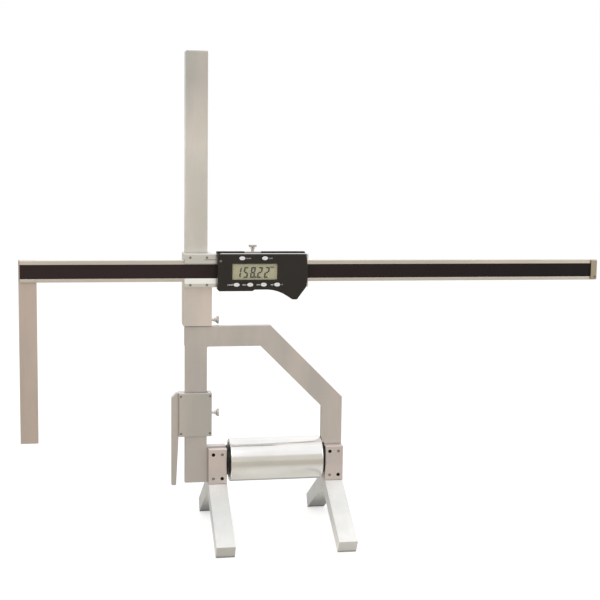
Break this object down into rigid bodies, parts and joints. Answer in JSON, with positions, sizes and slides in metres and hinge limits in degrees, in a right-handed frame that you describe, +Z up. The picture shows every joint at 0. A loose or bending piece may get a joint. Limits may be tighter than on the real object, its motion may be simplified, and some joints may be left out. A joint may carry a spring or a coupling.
{
  "type": "wheelset measuring gauge",
  "caption": "Gauge that stands on an axle by V feet: a digital caliper slides up its column, with a long measuring leg on the beam, a locating jaw on the frame and a tube grip.",
  "frame": {"origin": "on the ground plane under the middle of the beam, half way between the front and rear legs", "axes": "+X along the beam towards its end stop, +Y away from the reader, +Z up the column"},
  "size_m": [0.6316, 0.1836, 0.5194],
  "materials": {
    "satin_steel": "ground and satin finished steel, a warm light grey",
    "dark_steel": "blackened screws and dowels",
    "bright_steel": "bright turned steel with a knurled rim",
    "polished_steel": "polished steel tube",
    "bush_plastic": "black plastic bearing bushes",
    "gib_bronze": "bronze gib strips",
    "scale_black": "brown black scale strip cover",
    "housing_black": "fine grained black moulding",
    "window_clear": "clear window over the display",
    "lcd_grey": "grey green display glass",
    "board_green": "green circuit board",
    "keypad_rubber": "grey silicone keypads and contact strips",
    "button_white": "white push buttons"
  },
  "bodies": {
    "frame": {"frame_plate": "satin_steel", "column": "satin_steel", "column_screws": "dark_steel", "column_dowels": "dark_steel", "left_v_foot": "satin_steel", "right_v_foot": "satin_steel", "left_front_block": "satin_steel", "left_rear_block": "satin_steel", "right_front_block": "satin_steel", "right_rear_block": "satin_steel", "foot_screws": "dark_steel", "block_screws": "dark_steel", "block_dowels": "dark_steel", "grip_axle": "dark_steel"},
    "grip": {"grip_tube": "polished_steel", "left_grip_bush": "bush_plastic", "right_grip_bush": "bush_plastic"},
    "carriage": {"carriage_channel": "satin_steel", "carriage_back_plate": "satin_steel", "carriage_back_screws": "dark_steel", "carriage_gib": "gib_bronze", "cursor_frame": "satin_steel", "beam_gib": "gib_bronze", "upper_keeper": "satin_steel", "lower_keeper": "satin_steel", "keeper_screws": "dark_steel", "housing_shell": "housing_black", "display_window": "window_clear", "lcd_panel": "lcd_grey", "contact_strips": "keypad_rubber", "circuit_board": "board_green", "upper_keypad": "keypad_rubber", "lower_keypad": "keypad_rubber", "battery": "bright_steel", "battery_clip": "dark_steel", "battery_lid": "housing_black", "housing_screws": "dark_steel"},
    "beam": {"beam": "satin_steel", "scale_strip": "scale_black", "measuring_leg": "satin_steel", "leg_screws": "dark_steel", "end_stop": "satin_steel", "end_stop_screw": "dark_steel"},
    "jaw": {"jaw_blade": "satin_steel", "jaw_side_bar": "satin_steel", "jaw_cover_plate": "satin_steel", "jaw_back_plate": "satin_steel", "jaw_gib": "gib_bronze", "jaw_screws": "dark_steel"},
    "carriage_lock": {"carriage_lock": "bright_steel"},
    "beam_lock": {"beam_lock": "bright_steel"},
    "jaw_lock": {"jaw_lock": "bright_steel"},
    "mode_button": {"mode_button": "button_white"},
    "hold_button": {"hold_button": "button_white"},
    "power_button": {"power_button": "button_white"},
    "zero_button": {"zero_button": "button_white"},
    "unit_button": {"unit_button": "button_white"},
    "preset_button": {"preset_button": "button_white"}
  },
  "joints": [
    {"name": "carriage_slide", "type": "slide", "parent": "frame", "child": "carriage", "axis": [0, 0, 1], "range_m": [0, 0.205]},
    {"name": "beam_slide", "type": "slide", "parent": "carriage", "child": "beam", "axis": [1, 0, 0], "range_m": [-0.323, 0.139]},
    {"name": "jaw_slide", "type": "slide", "parent": "frame", "child": "jaw", "axis": [0, 0, 1], "range_m": [-0.011, 0.047]},
    {"name": "grip_spin", "type": "hinge", "parent": "frame", "child": "grip", "pos_m": [-0.04553, 0, 0.08159], "axis": [1, 0, 0], "continuous": true},
    {"name": "carriage_lock_turn", "type": "hinge", "parent": "carriage", "child": "carriage_lock", "pos_m": [-0.11603, 0.004, 0.2353], "axis": [1, 0, 0], "range_deg": [0, 360]},
    {"name": "beam_lock_turn", "type": "hinge", "parent": "carriage", "child": "beam_lock", "pos_m": [-0.07363, -0.0137, 0.31035], "axis": [0, 0, 1], "range_deg": [0, 360]},
    {"name": "jaw_lock_turn", "type": "hinge", "parent": "jaw", "child": "jaw_lock", "pos_m": [-0.11573, 0, 0.1345], "axis": [1, 0, 0], "range_deg": [0, 360]},
    {"name": "mode_press", "type": "slide", "parent": "carriage", "child": "mode_button", "axis": [0, 1, 0], "range_m": [0, 0.0006], "stiffness_N_per_m": 1500, "springref_m": -0.0004},
    {"name": "hold_press", "type": "slide", "parent": "carriage", "child": "hold_button", "axis": [0, 1, 0], "range_m": [0, 0.0006], "stiffness_N_per_m": 1500, "springref_m": -0.0004},
    {"name": "power_press", "type": "slide", "parent": "carriage", "child": "power_button", "axis": [0, 1, 0], "range_m": [0, 0.0006], "stiffness_N_per_m": 1500, "springref_m": -0.0004},
    {"name": "zero_press", "type": "slide", "parent": "carriage", "child": "zero_button", "axis": [0, 1, 0], "range_m": [0, 0.0006], "stiffness_N_per_m": 1500, "springref_m": -0.0004},
    {"name": "unit_press", "type": "slide", "parent": "carriage", "child": "unit_button", "axis": [0, 1, 0], "range_m": [0, 0.0006], "stiffness_N_per_m": 1500, "springref_m": -0.0004},
    {"name": "preset_press", "type": "slide", "parent": "carriage", "child": "preset_button", "axis": [0, 1, 0], "range_m": [0, 0.0006], "stiffness_N_per_m": 1500, "springref_m": -0.0004}
  ]
}
